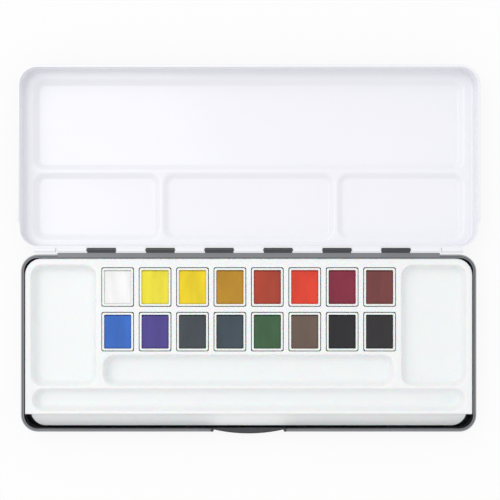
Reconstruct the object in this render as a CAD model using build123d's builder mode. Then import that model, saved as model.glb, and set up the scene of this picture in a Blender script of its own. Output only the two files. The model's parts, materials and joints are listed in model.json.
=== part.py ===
"""A watercolour paint set: a shallow tin, its hinged lid, a moulded tray and sixteen half pans.

The origin is the centre of the tin's underside, on the table. +X runs along the tin, +Y towards the hinge and
+Z up. The lid lies open behind the tin, flat on the same table. All sizes are in millimetres.
"""

from build123d import *

import os

os.makedirs("parts", exist_ok=True)

# Sheet metal shared by the tin and the lid
sheet = 0.5
bend_radius = 2.0
bead_flat = 0.2

# Tin, measured over its curled rim
tin_length = 233.8
tin_width = 91.0
tin_height = 12.0
tin_corner_radius = 8.8
tin_bead = 1.7

# Thumb lip, pressed out of the middle of the tin's front wall
thumb_width = 41.0
thumb_notch_width = 34.0
thumb_notch_taper = 3.0
thumb_reach = 1.2
thumb_drop = 2.6

# Hinge
hinge_offset = 2.3
hinge_end_margin = 18.9
knuckle_count = 13
knuckle_gap = 0.4
barrel_radius = 1.15
barrel_clearance = 0.3
pin_radius = 0.6
pin_clearance = 0.05
leaf_gap = 0.2

# Tabs that close the lid's rear corners, past the ends of the hinge
corner_tab_gap = 0.9
corner_tab_length = 10.9
corner_tab_reach = 1.7
corner_tab_radius = 1.5

# Lid, which closes round the tin's rim
lid_bead = 1.3
lid_clearance = 0.3
lid_overlap = 2.0
relief_length = 13.0
relief_ramp = 4.0

# Wells pressed into the lid
lid_well_depth = 2.0
lid_well_slope = 2.8
lid_well_radius = 6.0
lid_side_land = 4.9
lid_front_land = 4.6
lid_rear_land = 3.1
ridge_width = 1.2
cross_ridge_place = 40.9
near_ridge_place = 45.4
crest_radius = 1.5

# Tray
tray_wall = 1.2
tray_side_gap = 0.3
tray_rear_gap = 0.3
tray_front_gap = 1.1
deck_drop = 0.5
tray_rear_radius = 8.7
tray_front_radius = 2.7
tray_edge_round = 0.6
front_lip_depth = 6.2
front_lip_inset = 3.0
front_lip_radius = 8.2
front_lip_drop = 2.0
front_lip_slope = 2.2

# Wells and brush trough in the tray
well_depth = 7.0
well_slope = 1.6
well_radius = 6.0
well_floor_round = 3.0
well_rim_round = 0.7
side_well_rim = 3.0
rear_rim = 3.3
block_gap = 1.5
well_web = 3.6
centre_well_gap = 1.65
trough_width = 11.6
trough_depth = 6.0
trough_radius = 5.6
trough_end_rim = 3.8
trough_web = 1.2
trough_front_rim = 1.6

# The least straight that a corner or a round leaves, and the most of a web that its two rounds take
least_flat = 0.2
round_share = 0.6

# Half pans, in columns along X and rows along Y
pan_columns = 8
pan_length = 16.0
pan_width = 19.5
pan_height = 10.4
column_gap = 3.2
row_gap = 3.4
rear_land = 4.95
pan_wall = 1.0
pan_draft = 0.7
pan_corner_radius = 1.0
pan_rim_round = 0.3
socket_gap = 0.4
socket_draft = 0.3
socket_floor = 0.8
socket_floor_round = 0.3
paint_drop = 1.1
paint_dish_radius = 60.0

rear_row = ["white", "lemon", "yellow", "ochre", "burnt_sienna", "vermilion", "crimson", "red_brown"]
front_row = ["blue", "violet", "indigo", "teal", "green", "umber", "blue_black", "violet_black"]

# Places that follow from those sizes
axis_y = tin_width / 2 + hinge_offset
axis_z = tin_height + leaf_gap / 2
leaf_top = tin_height
hinge_length = tin_length - 2 * hinge_end_margin
knuckle_pitch = hinge_length / knuckle_count
lid_knuckles = range(0, knuckle_count, 2)
tin_knuckles = range(1, knuckle_count, 2)


def bar(radius, start, end, mode=Mode.ADD):
    """A round bar on the hinge axis, from one X to another, in the part being built."""
    with BuildSketch(Plane.YZ.offset(start)) as section:
        with Locations((axis_y, axis_z)):
            Circle(radius)
    extrude(section.sketch, amount=end - start, mode=mode)


def slab(low, high, mode=Mode.ADD):
    """A box between two corners, in the part being built."""
    size = [top - bottom for bottom, top in zip(low, high)]
    with Locations(tuple((top + bottom) / 2 for bottom, top in zip(low, high))):
        Box(*size, mode=mode)


def knuckle_span(index):
    """The X of the two ends of a knuckle, counted from the left."""
    start = -hinge_length / 2 + index * knuckle_pitch
    return start + knuckle_gap / 2, start + knuckle_pitch - knuckle_gap / 2


def curled_rim(length, width, radius, bead, centre_y, top):
    """The curl round a rim, a ring flush with the inner face of the wall, in the part being built."""
    with BuildSketch(Plane((0, centre_y, top - bead))) as outline:
        RectangleRounded(length, width, radius)
        RectangleRounded(length - 2 * bead, width - 2 * bead, radius - bead, mode=Mode.SUBTRACT)
    ring = extrude(outline.sketch, amount=bead, mode=Mode.PRIVATE)
    levels = ring.faces().filter_by(Axis.Z).sort_by(Axis.Z)
    round_edges = levels[-1].edges() + levels[0].outer_wire().edges()
    add(ring.fillet((bead - bead_flat) / 2, round_edges))


# Base tin: a pressed shell with its curled rim, rear flange, knuckles and thumb lip
tin_curl = tin_bead - sheet
wall_length = tin_length - 2 * tin_curl
wall_width = tin_width - 2 * tin_curl
wall_radius = tin_corner_radius - tin_curl
inner_length = tin_length - 2 * tin_bead
inner_width = tin_width - 2 * tin_bead
flange_edge = axis_y - barrel_radius - barrel_clearance
thumb_level = tin_height - thumb_drop
thumb_front = -tin_width / 2 - thumb_reach
thumb_root = -wall_width / 2 + sheet / 2

with BuildPart() as base_tin:
    with BuildSketch():
        RectangleRounded(wall_length, wall_width, wall_radius)
    extrude(amount=tin_height)
    fillet(base_tin.faces().sort_by(Axis.Z)[0].edges(), bend_radius)
    offset(amount=-sheet, openings=base_tin.faces().sort_by(Axis.Z)[-1])
    curled_rim(tin_length, tin_width, tin_corner_radius, tin_bead, 0, tin_height)

    # The flange runs from the wall to just short of the barrel, and a tab from it carries each knuckle
    slab((-hinge_length / 2, inner_width / 2, leaf_top - sheet), (hinge_length / 2, flange_edge, leaf_top))
    for index in tin_knuckles:
        start, end = knuckle_span(index)
        slab((start, inner_width / 2, leaf_top - sheet), (end, axis_y, leaf_top))
        bar(barrel_radius, start, end)
    bar(pin_radius + pin_clearance, -hinge_length / 2, hinge_length / 2, mode=Mode.SUBTRACT)

    # The rim is notched over the thumb lip, and the lip bows out below the notch
    with BuildSketch(Plane.XZ.offset(inner_width / 2)):
        with BuildLine():
            Polyline(
                (-thumb_notch_width / 2 - thumb_notch_taper, tin_height + sheet),
                (-thumb_notch_width / 2, thumb_level),
                (thumb_notch_width / 2, thumb_level),
                (thumb_notch_width / 2 + thumb_notch_taper, tin_height + sheet),
                close=True,
            )
        make_face()
    extrude(amount=2 * tin_bead, mode=Mode.SUBTRACT)
    with BuildSketch(Plane.XY.offset(thumb_level - 2 * sheet)):
        with BuildLine():
            ThreePointArc((-thumb_width / 2, thumb_root), (0, thumb_front), (thumb_width / 2, thumb_root))
            Line((thumb_width / 2, thumb_root), (-thumb_width / 2, thumb_root))
        make_face()
    extrude(amount=2 * sheet)
    bowed_edges = base_tin.edges().filter_by(GeomType.CIRCLE).sort_by(Axis.Y)[:2]
    fillet(bowed_edges, sheet / 2)
base_tin.part.label = "base_tin"
export_step(base_tin.part, "parts/base_tin.step")

# Hinge pin
with BuildPart() as hinge_pin:
    bar(pin_radius, -hinge_length / 2, hinge_length / 2)
hinge_pin.part.label = "hinge_pin"
export_step(hinge_pin.part, "parts/hinge_pin.step")

# Lid, open: its rim is level with the tin's and its panel lies on the table
lid_curl = lid_bead - sheet
lid_margin = lid_bead + lid_clearance
lid_length = tin_length + 2 * lid_margin
lid_corner_radius = tin_corner_radius + lid_margin
lid_wall_length = lid_length - 2 * lid_curl
lid_rear = axis_y + barrel_radius + barrel_clearance
lid_front = axis_y + hinge_offset + tin_width + lid_margin - lid_curl
lid_wall_width = lid_front - lid_rear
lid_centre_y = (lid_front + lid_rear) / 2
lid_wall_radius = lid_corner_radius - lid_curl
lid_top = leaf_top + lid_overlap
well_left = -lid_wall_length / 2 + sheet + lid_side_land
well_near = lid_rear + sheet + lid_rear_land
well_far = lid_front - sheet - lid_front_land
cross_near = axis_y + cross_ridge_place - ridge_width / 2
near_inner = near_ridge_place - ridge_width / 2
lid_wells = [
    (well_left, -well_left, cross_near + ridge_width, well_far),
    (well_left, -near_inner - ridge_width, well_near, cross_near),
    (-near_inner, near_inner, well_near, cross_near),
    (near_inner + ridge_width, -well_left, well_near, cross_near),
]


def lid_form(inset):
    """The lid's pressed shape as a solid: the outer face with no inset, the inner face with the sheet's."""
    land = lid_well_depth + inset
    shrink = inset * lid_well_slope / (lid_well_depth + lid_well_slope) / 2
    with BuildPart() as form:
        with BuildSketch(Plane((0, lid_centre_y, land))):
            RectangleRounded(lid_wall_length - 2 * inset, lid_wall_width - 2 * inset, lid_wall_radius - inset)
        extrude(amount=lid_top - land + inset)
        fillet(form.faces().sort_by(Axis.Z)[0].edges(), bend_radius - inset)
        for left, right, near, far in lid_wells:
            length = right - left - 2 * shrink
            width = far - near - 2 * shrink
            middle = ((left + right) / 2, (near + far) / 2)
            foot = (length - 2 * lid_well_slope, width - 2 * lid_well_slope)
            with BuildSketch(Plane((*middle, land))):
                RectangleRounded(length, width, lid_well_radius)
            with BuildSketch(Plane((*middle, inset))):
                RectangleRounded(*foot, lid_well_radius - lid_well_slope)
            loft(ruled=True)
        crests = (
            form.edges()
            .filter_by_position(Axis.Z, land, land)
            .filter_by_position(Axis.X, well_left, -well_left)
            .filter_by_position(Axis.Y, well_near, well_far)
        )
        fillet(crests, crest_radius - sheet + inset)
        fillet(form.faces().filter_by(Axis.Z).group_by(Axis.Z)[0].edges(), crest_radius + sheet - inset)
    return form.part


outer_form = lid_form(0)
inner_form = lid_form(sheet)
tab_start = hinge_length / 2 + corner_tab_gap
tab_end = tab_start + corner_tab_length
with BuildPart() as lid:
    add(outer_form)
    add(inner_form, mode=Mode.SUBTRACT)
    curled_rim(lid_length, lid_wall_width + 2 * lid_curl, lid_corner_radius, lid_bead, lid_centre_y, lid_top)

    # The rear of the rim stops at the leaf's level, so that it clears the tin's rim as the lid turns
    with BuildSketch(Plane.YZ.offset(-lid_length)):
        with BuildLine():
            Polyline(
                (axis_y - relief_length, leaf_top),
                (axis_y + relief_length, leaf_top),
                (axis_y + relief_length + relief_ramp, lid_top + sheet),
                (axis_y - relief_length, lid_top + sheet),
                close=True,
            )
        make_face()
    extrude(amount=2 * lid_length, mode=Mode.SUBTRACT)

    # A tab carries each knuckle
    for index in lid_knuckles:
        start, end = knuckle_span(index)
        slab((start, axis_y, leaf_top - sheet), (end, lid_rear + sheet, leaf_top))
        bar(barrel_radius, start, end)

    # Past the pin's ends a wider tab with a rounded corner closes each rear corner, curled like a knuckle
    tab_depth = lid_rear + sheet - axis_y + corner_tab_reach
    with BuildSketch(Plane.XY.offset(leaf_top - sheet)) as tabs:
        for side in (-1, 1):
            with Locations((side * (tab_start + tab_end) / 2, lid_rear + sheet - tab_depth / 2)):
                Rectangle(corner_tab_length, tab_depth)
        near_corners = tabs.vertices().group_by(Axis.Y)[0].sort_by(Axis.X)
        fillet([near_corners[0], near_corners[-1]], corner_tab_radius)
    extrude(amount=sheet)
    bar(barrel_radius, tab_start, tab_end)
    bar(barrel_radius, -tab_end, -tab_start)
    bar(pin_radius + pin_clearance, -tab_end, tab_end, mode=Mode.SUBTRACT)
lid.part.label = "lid"
export_step(lid.part, "parts/lid.step")

# Tray: a moulded shell that stands on the tin's floor by its block of sockets, its skirt clear of the tin's bend
tray_base = sheet
skirt_base = tray_base + bend_radius
tray_deck_height = tin_height - deck_drop
deck_bottom = tray_deck_height - tray_wall
tray_length = inner_length - 2 * tray_side_gap
tray_rear = inner_width / 2 - tray_rear_gap
tray_front = -inner_width / 2 + tray_front_gap
deck_front = tray_front + front_lip_depth
lip_length = tray_length - 2 * front_lip_inset
lip_top = tray_deck_height - front_lip_drop
lip_ceiling = lip_top - front_lip_slope - tray_wall

pan_pitch = pan_length + column_gap
row_pitch = pan_width + row_gap
rear_row_y = tray_rear - rear_land - pan_width / 2
row_places = [rear_row_y, rear_row_y - row_pitch]
column_places = [(column - (pan_columns - 1) / 2) * pan_pitch for column in range(pan_columns)]
socket_length = pan_length + 2 * socket_gap
socket_width = pan_width + 2 * socket_gap
socket_bottom = tray_base + socket_floor
block_length = (pan_columns - 1) * pan_pitch + socket_length + 2 * tray_wall
block_width = row_pitch + socket_width + 2 * tray_wall

# The side wells take what the pans leave of the length, and the trough and lip leave of the width
trough_rear = deck_front + trough_front_rim + trough_width
well_front = trough_rear + trough_web
well_rear = tray_rear - rear_rim
side_well_outer = tray_length / 2 - side_well_rim
side_well_inner = block_length / 2 + block_gap
side_well_x = (side_well_outer + side_well_inner) / 2
side_well_y = (well_rear + well_front) / 2
side_well_length = side_well_outer - side_well_inner
side_well_width = well_rear - well_front
centre_well_length = 2 * (side_well_inner - well_web)
centre_well_width = row_places[-1] - socket_width / 2 - centre_well_gap - well_front
centre_well_y = well_front + centre_well_width / 2
trough_length = tray_length - 2 * trough_end_rim

# Each hollow has its place, size, corner radius and depth
tray_wells = [
    (-side_well_x, side_well_y, side_well_length, side_well_width, well_radius, well_depth),
    (side_well_x, side_well_y, side_well_length, side_well_width, well_radius, well_depth),
    (0, centre_well_y, centre_well_length, centre_well_width, well_radius, well_depth),
    (0, trough_rear - trough_width / 2, trough_length, trough_width, trough_radius, trough_depth),
]


def corner_within(length, width, radius):
    """A corner radius that leaves a little straight on the shorter side."""
    return min(radius, min(length, width) / 2 - least_flat)


def deck_outline(inset):
    """The tray's deck seen from above, drawn in by an inset."""
    with BuildSketch(Plane((0, (tray_rear + deck_front) / 2, skirt_base))) as outline:
        Rectangle(tray_length - 2 * inset, tray_rear - deck_front - 2 * inset)
        ends = outline.vertices().group_by(Axis.Y)
        fillet(ends[-1], tray_rear_radius - inset)
        fillet(ends[0], tray_front_radius - inset)
    return outline.sketch


def lip_outline(inset):
    """The lower front lip seen from above, drawn in by an inset. It runs back into the deck's front wall."""
    rear = deck_front + tray_wall - inset
    front = tray_front + inset
    depth = rear - front
    with BuildSketch(Plane((0, (rear + front) / 2, skirt_base))) as outline:
        Rectangle(lip_length - 2 * inset, depth)
        fillet(outline.vertices().group_by(Axis.Y)[0], min(front_lip_radius - inset, depth - least_flat))
    return outline.sketch


def hollow(x, y, length, width, radius, depth, slope, floor_round):
    """The space inside a well, with sloping sides and a rounded floor."""
    corner = corner_within(length, width, radius)
    with BuildPart() as space:
        with BuildSketch(Plane((x, y, tray_deck_height))):
            RectangleRounded(length, width, corner)
        with BuildSketch(Plane((x, y, tray_deck_height - depth))):
            RectangleRounded(length - 2 * slope, width - 2 * slope, corner - slope)
        loft(ruled=True)
        fillet(space.faces().sort_by(Axis.Z)[0].edges(), min(floor_round, corner - slope - least_flat))
    return space.part


def sloping_lip():
    """The front lip as a block whose top slopes down towards the front."""
    with BuildPart() as block:
        extrude(lip_outline(0), amount=lip_top - skirt_base)
        with BuildSketch(Plane.YZ.offset(-tray_length)):
            with BuildLine():
                Polyline(
                    (deck_front, lip_top),
                    (tray_front, lip_top - front_lip_slope),
                    (tray_front - tray_wall, lip_top - front_lip_slope),
                    (tray_front - tray_wall, lip_top + tray_wall),
                    (deck_front, lip_top + tray_wall),
                    close=True,
                )
            make_face()
        extrude(amount=2 * tray_length, mode=Mode.SUBTRACT)
    return block.part


with BuildPart() as tray_insert:
    extrude(deck_outline(0), amount=tray_deck_height - skirt_base)
    fillet(tray_insert.faces().sort_by(Axis.Z)[-1].edges(), tray_edge_round)
    extrude(deck_outline(tray_wall), amount=deck_bottom - skirt_base, mode=Mode.SUBTRACT)

    # The lower lip in front slopes down to its front edge
    add(sloping_lip())
    extrude(lip_outline(tray_wall), amount=lip_ceiling - skirt_base, mode=Mode.SUBTRACT)

    # Each well has its own body under the deck, and the pans share one block of sockets
    for x, y, length, width, radius, depth in tray_wells:
        corner = corner_within(length, width, radius) + tray_wall
        with BuildSketch(Plane((x, y, tray_deck_height - depth - tray_wall))):
            RectangleRounded(length + 2 * tray_wall, width + 2 * tray_wall, corner)
        extrude(amount=depth)
    with BuildSketch(Plane((0, sum(row_places) / 2, tray_base))):
        Rectangle(block_length, block_width)
    extrude(amount=deck_bottom - tray_base)

    for well in tray_wells:
        add(hollow(*well, well_slope, well_floor_round), mode=Mode.SUBTRACT)
    socket = (socket_length, socket_width, pan_corner_radius, tray_deck_height - socket_bottom)
    for y in row_places:
        for x in column_places:
            add(hollow(x, y, *socket, socket_draft, socket_floor_round), mode=Mode.SUBTRACT)

    # The rims of the wells are rounded, and those of the sockets are sharp
    deck = tray_insert.faces().filter_by(Axis.Z).group_by(Axis.Z)[-1].sort_by(SortBy.AREA)[-1]
    well_rims = [wire for wire in deck.inner_wires() if wire.length > 2 * (socket_length + socket_width)]
    rim_edges = [edge for wire in well_rims for edge in wire.edges()]
    fillet(rim_edges, min(well_rim_round, round_share * trough_web))
tray_insert.part.label = "tray_insert"
export_step(tray_insert.part, "parts/tray_insert.step")

# Half pans and their cakes of paint
pan_top = socket_bottom + pan_height


def tapered(x, y, top, length, width, radius, depth, draft):
    """A block under a rounded rectangle that narrows evenly downwards."""
    with BuildPart() as block:
        with BuildSketch(Plane((x, y, top))):
            RectangleRounded(length, width, radius)
        with BuildSketch(Plane((x, y, top - depth))):
            RectangleRounded(length - 2 * draft, width - 2 * draft, radius)
        loft(ruled=True)
    return block.part


inside_depth = pan_height - pan_wall
inside_draft = pan_draft * inside_depth / pan_height
inside_size = (pan_length - 2 * pan_wall, pan_width - 2 * pan_wall, pan_corner_radius / 2)
for y, row in zip(row_places, [rear_row, front_row]):
    for x, colour in zip(column_places, row):
        with BuildPart() as pan:
            add(tapered(x, y, pan_top, pan_length, pan_width, pan_corner_radius, pan_height, pan_draft))
            add(tapered(x, y, pan_top, *inside_size, inside_depth, inside_draft), mode=Mode.SUBTRACT)
            fillet(pan.faces().sort_by(Axis.Z)[-1].outer_wire().edges(), pan_rim_round)
        pan.part.label = f"pan_{colour}"
        export_step(pan.part, f"parts/pan_{colour}.step")

        with BuildPart() as paint:
            add(tapered(x, y, pan_top, *inside_size, inside_depth, inside_draft))
            with Locations((x, y, pan_top - paint_drop + paint_dish_radius)):
                Sphere(paint_dish_radius, mode=Mode.SUBTRACT)
            split(bisect_by=Plane((0, 0, pan_top - paint_drop / 2)), keep=Keep.BOTTOM)
        paint.part.label = f"paint_{colour}"
        export_step(paint.part, f"parts/paint_{colour}.step")
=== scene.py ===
# %% [markdown]
# A watercolour paint set, open on a table and seen from straight above.
# The measured model comes first: the tin, lid, tray, pans and pin stand at their real sizes and places.
# Everything made below is fitted to that frame, and nothing in the frame is moved.

# %% Load the measured frame
import json
import math

import bpy
from mathutils import Matrix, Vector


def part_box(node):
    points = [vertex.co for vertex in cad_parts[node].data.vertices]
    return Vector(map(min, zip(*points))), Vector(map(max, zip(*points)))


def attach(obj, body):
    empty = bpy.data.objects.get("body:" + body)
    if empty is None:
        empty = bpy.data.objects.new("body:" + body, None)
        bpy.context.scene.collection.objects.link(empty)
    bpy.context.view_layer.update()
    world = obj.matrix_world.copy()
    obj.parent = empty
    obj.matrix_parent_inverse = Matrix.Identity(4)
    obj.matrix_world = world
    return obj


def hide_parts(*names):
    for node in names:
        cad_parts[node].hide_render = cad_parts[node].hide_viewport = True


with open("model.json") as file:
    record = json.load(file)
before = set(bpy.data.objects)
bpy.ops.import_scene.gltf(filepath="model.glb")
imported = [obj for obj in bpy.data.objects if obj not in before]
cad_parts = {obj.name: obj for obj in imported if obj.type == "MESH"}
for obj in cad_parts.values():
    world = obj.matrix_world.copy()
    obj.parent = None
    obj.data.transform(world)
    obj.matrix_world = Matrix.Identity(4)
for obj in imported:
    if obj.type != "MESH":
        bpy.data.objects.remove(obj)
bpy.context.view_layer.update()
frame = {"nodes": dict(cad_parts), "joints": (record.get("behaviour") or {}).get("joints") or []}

print("pieces in the frame:", len(frame["nodes"]))

# %% [markdown]
# Sizes are easier to read in millimetres, while Blender counts in metres. Colours are easier to choose as
# the hex values of a paint chart, while a shader works in linear light, so one function turns the first into
# the second.

# %% Units and colours
MM = 0.001


def linear(hex_colour):
    """A colour written as sRGB hex, as the linear RGBA that a shader takes."""
    channels = [int(hex_colour[i:i + 2], 16) / 255 for i in (1, 3, 5)]
    return [c / 12.92 if c <= 0.04045 else ((c + 0.055) / 1.055) ** 2.4 for c in channels] + [1.0]


def per_metre(size_mm):
    """How many features of a real size fit in a metre, which is the scale that a noise texture takes."""
    return 1 / (size_mm * MM)


print("mid grey is", [round(c, 3) for c in linear("#808080")])

# %% [markdown]
# An operator acts on whatever is selected, so each step first clears the selection and picks one piece. The
# frame's meshes are loose triangles, which always look faceted. A merged copy can share its corners, and so
# it can be shaded smooth across a bend and still keep its crisp edges.

# %% Helpers for picking and copying pieces
SMOOTH_ANGLE = math.radians(32)
WELD = 0.002 * MM


def pick(piece):
    """Makes one piece the only one selected."""
    bpy.ops.object.select_all(action="DESELECT")
    piece.select_set(True)
    bpy.context.view_layer.objects.active = piece


def welded_copy(node, name, body):
    """A merged, smooth copy of a measured piece, which rides with its body and is shown in its place."""
    piece = bpy.data.objects.new(name, frame["nodes"][node].data.copy())
    bpy.context.scene.collection.objects.link(piece)
    pick(piece)
    bpy.ops.object.mode_set(mode="EDIT")
    bpy.ops.mesh.select_all(action="SELECT")
    bpy.ops.mesh.remove_doubles(threshold=WELD)
    bpy.ops.object.mode_set(mode="OBJECT")
    if piece.data.has_custom_normals:
        bpy.ops.mesh.customdata_custom_splitnormals_clear()
    bpy.ops.object.shade_smooth_by_angle(angle=SMOOTH_ANGLE)
    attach(piece, body)
    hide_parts(node)
    return piece


def wear(piece, *materials):
    """Gives a piece its materials, the first one all over."""
    piece.data.materials.clear()
    for material in materials:
        piece.data.materials.append(material)
    return piece


# %% [markdown]
# Every finish below is a small tree of nodes. One function adds a node, sets it and links it, so each
# material reads as a list of what it is made of.

# %% Helper for nodes
def add_node(tree, kind, inputs=None, **settings):
    """Adds a node with its settings; each input is a value, or a socket to link from."""
    node = tree.nodes.new(kind)
    for name, value in settings.items():
        setattr(node, name, value)
    for name, value in (inputs or {}).items():
        if isinstance(value, bpy.types.NodeSocket):
            tree.links.new(value, node.inputs[name])
        else:
            node.inputs[name].default_value = value
    return node


MIX_FACTOR, MIX_FIRST, MIX_SECOND, MIX_RESULT = 0, 6, 7, 2


def blend_tones(tree, share, first, second):
    """A colour that runs from one tone to another; a mix node numbers its colour sockets."""
    mix = add_node(
        tree, "ShaderNodeMix", {MIX_FACTOR: share, MIX_FIRST: first, MIX_SECOND: second}, data_type="RGBA"
    )
    return mix.outputs[MIX_RESULT]


def new_material(name):
    """An empty material and its tree."""
    material = bpy.data.materials.new(name)
    material.use_nodes = True
    material.node_tree.nodes.clear()
    return material, material.node_tree


# %% [markdown]
# The tin and lid are tinplate, roller-coated with enamel and stoved hard before the sheet is pressed. That
# gives a glossy coat with a faint ripple a couple of millimetres across, like the skin of an orange, and
# some areas that are duller where hands and cloths have rubbed. The ripple is only a bump, and the rubbed
# areas change the roughness most and the tone a little.

# %% Stoved enamel
ENAMEL_IOR = 1.5
ORANGE_PEEL_MM = 1.8
ORANGE_PEEL_HEIGHT = 0.012 * MM
RUBBED_MM = 28


def stoved_enamel(name, colour, rubbed_colour, roughness, rubbed_roughness, painted_reflection_colour=None):
    """Glossy stoved enamel on pressed tinplate, which may take a paler painted reflection where it turns
    away.
    """
    material, tree = new_material(name)
    place = add_node(tree, "ShaderNodeTexCoord").outputs["Object"]
    rubbed = add_node(
        tree, "ShaderNodeTexNoise", {"Vector": place, "Scale": per_metre(RUBBED_MM), "Detail": 5.0}
    )
    tone = blend_tones(tree, rubbed.outputs["Fac"], linear(colour), linear(rubbed_colour))
    if painted_reflection_colour:
        # Painted reflection: the tone runs to a pale colour where the surface turns away, standing in for
        # bright surroundings mirrored at a glancing angle.
        turned = add_node(tree, "ShaderNodeLayerWeight", {"Blend": 0.5})
        tone = blend_tones(tree, turned.outputs["Facing"], tone, linear(painted_reflection_colour))
    dull = add_node(
        tree, "ShaderNodeMapRange",
        {"Value": rubbed.outputs["Fac"], "From Min": 0.35, "From Max": 0.65,
         "To Min": roughness, "To Max": rubbed_roughness},
    )
    peel = add_node(
        tree, "ShaderNodeTexNoise", {"Vector": place, "Scale": per_metre(ORANGE_PEEL_MM), "Detail": 1.0}
    )
    ripple = add_node(
        tree, "ShaderNodeBump",
        {"Height": peel.outputs["Fac"], "Distance": ORANGE_PEEL_HEIGHT, "Strength": 1.0},
    )
    shader = add_node(
        tree, "ShaderNodeBsdfPrincipled",
        {"Base Color": tone, "Roughness": dull.outputs["Result"], "IOR": ENAMEL_IOR,
         "Normal": ripple.outputs["Normal"], "Coat Weight": 0.25, "Coat Roughness": 0.08},
    )
    add_node(tree, "ShaderNodeOutputMaterial", {"Surface": shader.outputs["BSDF"]})
    return material


black_enamel = stoved_enamel("black_stoved_enamel", "#2E2F33", "#3A3B40", 0.2, 0.3)
# Painted highlight: this rim enamel is grey rather than black, and paler still where it turns away, standing
# in for reflected surroundings.
rim_highlight_enamel = stoved_enamel("rim_painted_highlight_enamel", "#6E7075", "#85878C", 0.28, 0.4, "#F0F1F4")
white_enamel = stoved_enamel("white_stoved_enamel", "#F6F6FB", "#F3F3F9", 0.18, 0.26)
print("enamels:", black_enamel.name, rim_highlight_enamel.name, white_enamel.name)

# %% [markdown]
# The tray and the half pans are injection-moulded polystyrene: white, slightly see-through at thin edges and
# polished by the mould. Moulding leaves faint flow waves several millimetres long, and the plastic scatters
# a little light under its skin, which softens its shadows.

# %% Moulded polystyrene
POLYSTYRENE_IOR = 1.59
FLOW_WAVE_MM = 9
FLOW_WAVE_HEIGHT = 0.01 * MM
SCATTER_DEPTH = 1.2 * MM


def moulded_polystyrene(name, colour, shaded_colour, roughness):
    """White glossy polystyrene from a polished mould."""
    material, tree = new_material(name)
    place = add_node(tree, "ShaderNodeTexCoord").outputs["Object"]
    flow = add_node(
        tree, "ShaderNodeTexNoise",
        {"Vector": place, "Scale": per_metre(FLOW_WAVE_MM), "Detail": 2.0, "Distortion": 0.6},
    )
    tone = blend_tones(tree, flow.outputs["Fac"], linear(colour), linear(shaded_colour))
    polish = add_node(
        tree, "ShaderNodeMapRange",
        {"Value": flow.outputs["Fac"], "To Min": roughness, "To Max": roughness + 0.08},
    )
    waves = add_node(
        tree, "ShaderNodeBump",
        {"Height": flow.outputs["Fac"], "Distance": FLOW_WAVE_HEIGHT, "Strength": 1.0},
    )
    shader = add_node(
        tree, "ShaderNodeBsdfPrincipled",
        {"Base Color": tone, "Roughness": polish.outputs["Result"], "IOR": POLYSTYRENE_IOR,
         "Normal": waves.outputs["Normal"], "Subsurface Weight": 0.35, "Subsurface Scale": SCATTER_DEPTH},
    )
    add_node(tree, "ShaderNodeOutputMaterial", {"Surface": shader.outputs["BSDF"]})
    return material


tray_plastic = moulded_polystyrene("tray_polystyrene", "#F7F9F9", "#F4F7F8", 0.3)
pan_plastic = moulded_polystyrene("pan_polystyrene", "#F7F8F6", "#F2F4F2", 0.28)
print("plastics:", tray_plastic.name, pan_plastic.name)

# %% [markdown]
# The hinge turns on drawn steel wire, whose die leaves fine lines along its length. The lines are noise that
# is stretched along X, the way the wire was pulled.

# %% Drawn steel wire
DRAW_LINE_MM = 0.12
DRAW_STRETCH = 40


def drawn_steel(name):
    """Bright drawn steel wire."""
    material, tree = new_material(name)
    place = add_node(tree, "ShaderNodeTexCoord").outputs["Object"]
    along = add_node(tree, "ShaderNodeMapping", {"Vector": place, "Scale": (1 / DRAW_STRETCH, 1, 1)})
    lines = add_node(
        tree, "ShaderNodeTexNoise", {"Vector": along.outputs["Vector"], "Scale": per_metre(DRAW_LINE_MM)}
    )
    streaks = add_node(
        tree, "ShaderNodeMapRange", {"Value": lines.outputs["Fac"], "To Min": 0.25, "To Max": 0.5}
    )
    shader = add_node(
        tree, "ShaderNodeBsdfPrincipled",
        {"Base Color": linear("#A9A8A5"), "Metallic": 1.0, "Roughness": streaks.outputs["Result"]},
    )
    add_node(tree, "ShaderNodeOutputMaterial", {"Surface": shader.outputs["BSDF"]})
    return material


steel_wire = drawn_steel("drawn_steel_wire")
print("metal:", steel_wire.name)

# %% [markdown]
# A cake of watercolour is pigment and gum, poured wet and dried. Gum gives it a satin skin, and the dried
# skin has a fine tooth. Its soft light and dark streaks along the pan are painted sheen, standing in for soft
# reflections on that satin skin. Strong pigments dry nearly black, so each cake has its pigment's masstone,
# the colour of thick paint, and its painted sheen streaks lie to either side.

# %% Dried watercolour
SHEEN_STREAK_MM = 7
SHEEN_STREAK_STRETCH = 4
TOOTH_MM = 0.5
TOOTH_HEIGHT = 0.02 * MM
WAVE_MM = 3.5
WAVE_HEIGHT = 0.08 * MM
GUM_IOR = 1.47
PALEST = 0.95
PAINTED_SHEEN_SHARE = 0.12

# The masstone of each cake: the nearest common named colour, in the order of the two rows
CAKES = {
    "white": "#F5F5F5",  # white smoke
    "lemon": "#F0E130",  # dandelion
    "yellow": "#EED202",  # safety yellow
    "ochre": "#B8860B",  # dark goldenrod
    "burnt_sienna": "#AA381E",  # Chinese red
    "vermilion": "#D9381E",  # vermilion
    "crimson": "#7F1734",  # claret
    "red_brown": "#733635",  # garnet
    "blue": "#2D68C4",  # true blue
    "violet": "#483D8B",  # dark slate blue
    "indigo": "#3B444B",  # arsenic
    "teal": "#36454F",  # charcoal
    "green": "#355E3B",  # hunter green
    "umber": "#635147",  # umber
    "blue_black": "#16161D",  # eigengrau
    "violet_black": "#242124",  # raisin black
}


def strengthened(colour, factor):
    """A linear colour made lighter or deeper, and never whiter than paint can be."""
    return [min(channel * factor, PALEST) for channel in colour[:3]] + [1.0]


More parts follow.
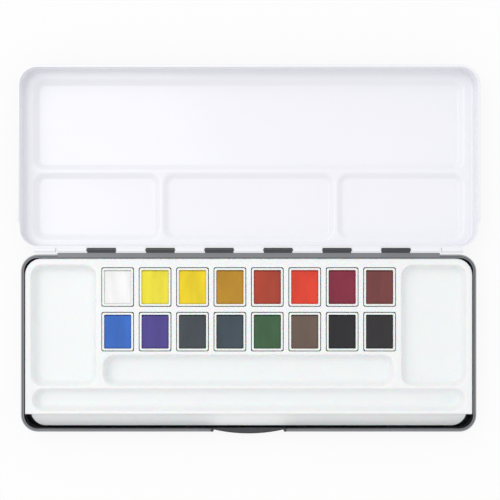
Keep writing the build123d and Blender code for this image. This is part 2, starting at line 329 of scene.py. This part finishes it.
def dried_watercolour(name, masstone):
    """Satin dried paint with painted sheen streaks and a fine tooth."""
    material, tree = new_material(name)
    place = add_node(tree, "ShaderNodeTexCoord").outputs["Object"]
    # Painted sheen: noise stretched along the pan makes lighter and deeper streaks, standing in for soft
    # reflections on the satin skin.
    drawn = add_node(tree, "ShaderNodeMapping", {"Vector": place, "Scale": (1, 1 / SHEEN_STREAK_STRETCH, 1)})
    streaks = add_node(
        tree, "ShaderNodeTexNoise",
        {"Vector": drawn.outputs["Vector"], "Scale": per_metre(SHEEN_STREAK_MM), "Detail": 3.0, "Distortion": 0.2},
    )
    spread = add_node(
        tree, "ShaderNodeMapRange",
        {"Value": streaks.outputs["Fac"], "From Min": 0.32, "From Max": 0.68},
    )
    deep, pale = (strengthened(linear(masstone), 1 + side * PAINTED_SHEEN_SHARE) for side in (-1, 1))
    tone = blend_tones(tree, spread.outputs["Result"], deep, pale)
    tooth = add_node(
        tree, "ShaderNodeTexNoise", {"Vector": place, "Scale": per_metre(TOOTH_MM), "Detail": 4.0}
    )
    waves = add_node(
        tree, "ShaderNodeTexNoise", {"Vector": place, "Scale": per_metre(WAVE_MM), "Detail": 1.0}
    )
    swell = add_node(
        tree, "ShaderNodeBump", {"Height": waves.outputs["Fac"], "Distance": WAVE_HEIGHT, "Strength": 0.6}
    )
    grain = add_node(
        tree, "ShaderNodeBump",
        {"Height": tooth.outputs["Fac"], "Distance": TOOTH_HEIGHT, "Strength": 0.6,
         "Normal": swell.outputs["Normal"]},
    )
    satin = add_node(
        tree, "ShaderNodeMapRange", {"Value": tooth.outputs["Fac"], "To Min": 0.38, "To Max": 0.55}
    )
    shader = add_node(
        tree, "ShaderNodeBsdfPrincipled",
        {"Base Color": tone, "Roughness": satin.outputs["Result"], "IOR": GUM_IOR,
         "Normal": grain.outputs["Normal"]},
    )
    add_node(tree, "ShaderNodeOutputMaterial", {"Surface": shader.outputs["BSDF"]})
    return material


cake_paint = {colour: dried_watercolour(f"watercolour_{colour}", tone) for colour, tone in CAKES.items()}
print("paints:", len(cake_paint))

# %% [markdown]
# The tin is right as it was measured, so it only needs smooth shading and its enamel. The curled rim and the
# rear flange are painted greyer than the rest, a painted highlight standing in for the bright surroundings
# that the glossy curl reflects, and the curl is painted paler still where it turns away, a painted
# reflection. Those faces are found by their height, by standing clear of the hinge barrels and by not looking
# inwards. The pin keeps its mesh and takes the steel.

# %% Tin and pin
BODY_SLOT = 0
PAINTED_HIGHLIGHT_SLOT = 1
TIN_TOP = 12.0 * MM
RIM_DEPTH = 1.75 * MM
BARREL_REACH = 1.4 * MM
LOOKS_IN = 2 * MM

hinge = next(joint for joint in frame["joints"] if joint["name"] == "lid_hinge")
hinge_y = hinge["pos_m"][1]
tin = wear(welded_copy("base_tin", "tin_shell", "tin"), black_enamel, rim_highlight_enamel)
tin_low, tin_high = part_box("base_tin")
tin_middle = (tin_low + tin_high) / 2
for face in tin.data.polygons:
    near_top = TIN_TOP - RIM_DEPTH < face.center.z <= TIN_TOP + WELD
    clear_of_barrels = face.center.y < hinge_y - BARREL_REACH
    looks_in = (face.center - tin_middle).to_2d().dot(face.normal.to_2d()) < -LOOKS_IN
    # The curled rim and rear flange get the painted-highlight enamel.
    face.material_index = PAINTED_HIGHLIGHT_SLOT if near_top and clear_of_barrels and not looks_in else BODY_SLOT
wear(frame["nodes"]["hinge_pin"], steel_wire)
print("painted-highlight faces on the tin:", sum(f.material_index == PAINTED_HIGHLIGHT_SLOT for f in tin.data.polygons))

# %% [markdown]
# The lid's sheet is white on the face that ends up inside and black on the other. Its rim is curled
# outwards, so the curl shows the inner, white face, and so do the hinge knuckles, which are the same curl
# cut into lengths. Each face is given its enamel by which way it looks: down, or away from the lid's middle.

# %% Lid in two enamels
WHITE_SLOT = 0
BLACK_SLOT = 1
RIM_CURL = 1.45 * MM
BARREL_ROOM = 3.0 * MM
FLAT_LOOK = 0.15

lid = wear(welded_copy("lid", "lid_shell", "lid"), white_enamel, black_enamel)
lid_low, lid_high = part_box("lid")
lid_middle = (lid_low + lid_high) / 2
for face in lid.data.polygons:
    outwards = (face.center - lid_middle).to_2d().dot(face.normal.to_2d())
    looks_out = face.normal.z < -FLAT_LOOK or (abs(face.normal.z) <= FLAT_LOOK and outwards > 0)
    on_curl = face.center.z > lid_high.z - RIM_CURL or face.center.y < lid_low.y + BARREL_ROOM
    face.material_index = BLACK_SLOT if looks_out and not on_curl else WHITE_SLOT
print("black faces on the lid:", sum(f.material_index == BLACK_SLOT for f in lid.data.polygons))

# %% [markdown]
# The tray and the sixteen cups are moulded pieces. Copies of their measured meshes are welded, so that light
# rolls over the rounded well rims.

# %% Tray and cups
tray = wear(welded_copy("tray_insert", "tray_moulding", "tray"), tray_plastic)
for colour in CAKES:
    wear(welded_copy(f"pan_{colour}", f"cup_{colour}", f"pan_{colour}"), pan_plastic)
print("tray triangles:", len(tray.data.polygons))

# %% [markdown]
# As a cake dries it shrinks, so it draws away from its cup, most of all from the far wall: the edge rounds
# over and drops into a groove, which is the dark line round every colour. The top sinks a little towards the
# middle. One cake is made from a cube: its upright edges are bevelled, and then its top face is extruded
# ring by ring, each ring drawn in and moved up or down to follow a real cake's section. The other fifteen
# are copies, each with its own mesh.

# %% Section of a cake
CAKE_GAP = 0.03 * MM
CAKE_CORNER = 0.55 * MM
CORNER_STEPS = 5
GROOVE_DEPTH = 1.4 * MM
FAR_GAP = 0.45 * MM

# How far each ring is drawn in, and how far it then rises
CAKE_RINGS_MM = [(0.05, 0.9), (0.15, 0.2), (0.2, 0.12), (0.4, 0.03), (0.9, -0.07), (1.5, -0.1), (2.0, -0.07)]
CENTRE_DROP = 0.02 * MM
CAKE_SMOOTH_ANGLE = math.radians(50)

first = "white"
cake_low, cake_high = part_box(f"paint_{first}")
cake_size = cake_high - cake_low
cake_middle = (cake_low + cake_high) / 2
shoulder_z = cake_high.z - GROOVE_DEPTH
print("cake size in mm:", [round(v / MM, 2) for v in cake_size])


# %% Start the first cake from a cube
bpy.ops.object.select_all(action="DESELECT")
block_middle = (cake_middle.x, cake_middle.y, (cake_low.z + shoulder_z) / 2)
bpy.ops.mesh.primitive_cube_add(size=1, location=block_middle)
cake = bpy.context.object
cake.name = "cake_" + first
cake.scale = (cake_size.x - 2 * CAKE_GAP, cake_size.y - 2 * CAKE_GAP, shoulder_z - cake_low.z)
bpy.ops.object.transform_apply(location=True, rotation=True, scale=True)


def select_only(piece, faces=(), edges=()):
    """Selects some faces or edges of a piece in object mode, by index, and nothing else."""
    pick(piece)
    for part in (piece.data.vertices, piece.data.edges, piece.data.polygons):
        part.foreach_set("select", [False] * len(part))
    for index in faces:
        piece.data.polygons[index].select = True
    for index in edges:
        piece.data.edges[index].select = True


print("shoulder of the cake at", round(shoulder_z / MM, 2), "mm")

# %% [markdown]
# The cup narrows towards its foot, so the cake does too: the bottom face is shrunk about its own middle by
# the cup's draft. The upright edges are then bevelled round. The top face stays selected from one extrusion
# to the next, so the rings follow each other in one visit to edit mode. Each is drawn in by scaling it about
# the cake's middle: an inset would make the rounded corners cross themselves once it is wider than their
# radius.

# %% Taper, round and ring the cake
CUP_DRAFT = 0.64 * MM

bottom = min(cake.data.polygons, key=lambda face: face.center.z).index
select_only(cake, faces=[bottom])
bpy.ops.object.mode_set(mode="EDIT")
bpy.ops.mesh.select_mode(type="FACE")
shrink = [(size - 2 * CUP_DRAFT) / size for size in (cake_size.x, cake_size.y)]
bpy.ops.transform.resize(value=(*shrink, 1), center_override=(cake_middle.x, cake_middle.y, cake_low.z))
bpy.ops.object.mode_set(mode="OBJECT")

uprights = []
for edge in cake.data.edges:
    a, b = (cake.data.vertices[v].co for v in edge.vertices)
    if abs(a.z - b.z) > cake_size.z / 2:
        uprights.append(edge.index)
select_only(cake, edges=uprights)
bpy.ops.object.mode_set(mode="EDIT")
bpy.ops.mesh.select_mode(type="EDGE")
bpy.ops.mesh.bevel(offset=CAKE_CORNER, segments=CORNER_STEPS, affect="EDGES")
bpy.ops.object.mode_set(mode="OBJECT")

top = max(cake.data.polygons, key=lambda face: face.center.z).index
select_only(cake, faces=[top])
bpy.ops.object.mode_set(mode="EDIT")
bpy.ops.mesh.select_mode(type="FACE")
width, depth = (size - 2 * CAKE_GAP for size in (cake_size.x, cake_size.y))
bpy.ops.mesh.extrude_region()
near_edge = cake_middle.y - depth / 2
bpy.ops.transform.resize(
    value=(1, (depth - FAR_GAP) / depth, 1), center_override=(cake_middle.x, near_edge, shoulder_z)
)
depth -= FAR_GAP
ring_middle = (cake_middle.x, near_edge + depth / 2, shoulder_z)
for inset, rise in CAKE_RINGS_MM:
    bpy.ops.mesh.extrude_region()
    narrower = (width - 2 * inset * MM) / width, (depth - 2 * inset * MM) / depth
    bpy.ops.transform.resize(value=(*narrower, 1), center_override=ring_middle)
    bpy.ops.transform.translate(value=(0, 0, rise * MM))
    width, depth = width - 2 * inset * MM, depth - 2 * inset * MM
bpy.ops.mesh.poke(offset=-CENTRE_DROP)
bpy.ops.mesh.select_all(action="SELECT")
bpy.ops.mesh.normals_make_consistent(inside=False)
bpy.ops.object.mode_set(mode="OBJECT")
bpy.ops.object.shade_smooth_by_angle(angle=CAKE_SMOOTH_ANGLE)
cake_top = max(v.co.z for v in cake.data.vertices)
print("faces in a cake:", len(cake.data.polygons), "top at", round(cake_top / MM, 2))

# %% [markdown]
# The fifteen other cakes are copies moved to their own cups. The place goes into the mesh, so every object
# stays at the origin and the paint's pattern, which is read in the frame's own coordinates, differs in each
# pan.

# %% Sixteen cakes
for colour, paint in cake_paint.items():
    piece = cake
    if colour != first:
        piece = bpy.data.objects.new("cake_" + colour, cake.data.copy())
        bpy.context.scene.collection.objects.link(piece)
        low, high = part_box(f"paint_{colour}")
        piece.data.transform(Matrix.Translation((low + high) / 2 - cake_middle))
    wear(piece, paint)
    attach(piece, f"pan_{colour}")
    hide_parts(f"paint_{colour}")
print("cakes in their cups:", len(cake_paint))

# %% [markdown]
# Where the plastic entered the mould a low round mark is left, here in the brush trough near its right end.
# It is a ring standing a tenth of a millimetre proud, made from a torus and pressed flat.

# %% Gate mark in the trough
GATE_RADIUS = 2.2 * MM
GATE_LINE = 0.22 * MM
GATE_FLATNESS = 0.5
GATE_FROM_END = 12.5 * MM
GATE_FROM_FRONT = 13.0 * MM
TROUGH_DEPTH = 6.0 * MM

tray_low, tray_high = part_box("tray_insert")
gate_place = (tray_high.x - GATE_FROM_END, tray_low.y + GATE_FROM_FRONT, tray_high.z - TROUGH_DEPTH)
bpy.ops.object.select_all(action="DESELECT")
bpy.ops.mesh.primitive_torus_add(
    location=gate_place, major_radius=GATE_RADIUS, minor_radius=GATE_LINE,
    major_segments=48, minor_segments=12,
)
gate_mark = bpy.context.object
gate_mark.name = "gate_mark"
gate_mark.scale = (1, 1, GATE_FLATNESS)
bpy.ops.object.transform_apply(location=True, rotation=True, scale=True)
bpy.ops.object.shade_smooth()
wear(gate_mark, tray_plastic)
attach(gate_mark, "tray")
print("gate mark at", [round(v / MM, 1) for v in gate_place])

# %% [markdown]
# The set stands on a plain pale table. Its far edges would only show as a horizon, so it is simply large.
# What the camera, and glossy surfaces, see of it is lifted part of the way to white, which keeps the soft
# shadow under the tin and adds no light to the paints.

# %% Table
TABLE_SIZE = 4.0
TABLE_GAP = 0.02 * MM
LIFT = 0.88

table_paint, tree = new_material("pale_table")
seen = add_node(tree, "ShaderNodeLightPath")
looks = add_node(
    tree, "ShaderNodeMath", {0: seen.outputs["Is Camera Ray"], 1: seen.outputs["Is Glossy Ray"]},
    operation="MAXIMUM",
)
looks_or_through = add_node(
    tree, "ShaderNodeMath", {0: looks.outputs[0], 1: seen.outputs["Is Transmission Ray"]}, operation="MAXIMUM"
)
share = add_node(tree, "ShaderNodeMath", {0: looks_or_through.outputs[0], 1: LIFT}, operation="MULTIPLY")
matt = add_node(tree, "ShaderNodeBsdfDiffuse", {"Color": linear("#F2F2F2")})
white = add_node(tree, "ShaderNodeEmission", {"Color": (1, 1, 1, 1), "Strength": 1.0})
both = add_node(
    tree, "ShaderNodeMixShader", {0: share.outputs[0], 1: matt.outputs[0], 2: white.outputs[0]}
)
add_node(tree, "ShaderNodeOutputMaterial", {"Surface": both.outputs[0]})

bpy.ops.object.select_all(action="DESELECT")
bpy.ops.mesh.primitive_plane_add(size=TABLE_SIZE, location=(0, 0, -TABLE_GAP))
table = bpy.context.object
table.name = "table"
wear(table, table_paint)
print("table is", TABLE_SIZE, "m across")

# %% [markdown]
# The studio light is soft and comes from the far left: a wide lamp there shades the near and right slopes of
# every well a little, and a white sky fills the rest.

# %% Light
SKY_STRENGTH = 0.83
LAMP_PLACE = (-0.6, 0.5, 1.3)
LAMP_SIZE = 1.2
LAMP_WATTS = 5.5

sky = bpy.data.worlds.new("studio_sky")
bpy.context.scene.world = sky
sky.use_nodes = True
sky.node_tree.nodes.clear()
glow = add_node(sky.node_tree, "ShaderNodeBackground", {"Color": (1, 1, 1, 1), "Strength": SKY_STRENGTH})
add_node(sky.node_tree, "ShaderNodeOutputWorld", {"Surface": glow.outputs[0]})

lamp_data = bpy.data.lights.new("window", "AREA")
lamp_data.size = LAMP_SIZE
lamp_data.energy = LAMP_WATTS
lamp = bpy.data.objects.new("window", lamp_data)
bpy.context.scene.collection.objects.link(lamp)
lamp.location = LAMP_PLACE
lamp.rotation_euler = lamp.location.to_track_quat("Z", "Y").to_euler()
print("lamp of", LAMP_WATTS, "W at", LAMP_PLACE)

# %% [markdown]
# The camera looks straight down from sixty centimetres, which is near enough to show the inner faces of the
# walls. The picture's middle row lies on the hinge, and a half pan that is 16 mm long is 31 pixels wide,
# which gives the width of the picture and so the lens.

# %% Camera
CAMERA_HEIGHT = 600 * MM
PICTURE_PIXELS = 500
PIXEL = 16.0 * MM / 31.2
PAN_TOP = 11.7 * MM
SENSOR_MM = 36
PICTURE_MIDDLE_X = 0.7 * MM

lens = bpy.data.cameras.new("camera")
lens.sensor_width = SENSOR_MM
lens.lens = SENSOR_MM * (CAMERA_HEIGHT - PAN_TOP) / (PICTURE_PIXELS * PIXEL)
camera = bpy.data.objects.new("camera", lens)
bpy.context.scene.collection.objects.link(camera)
camera.location = (PICTURE_MIDDLE_X, hinge_y, CAMERA_HEIGHT)
bpy.context.scene.camera = camera
bpy.context.scene.view_settings.view_transform = "Standard"
print("lens", round(lens.lens, 1), "mm")
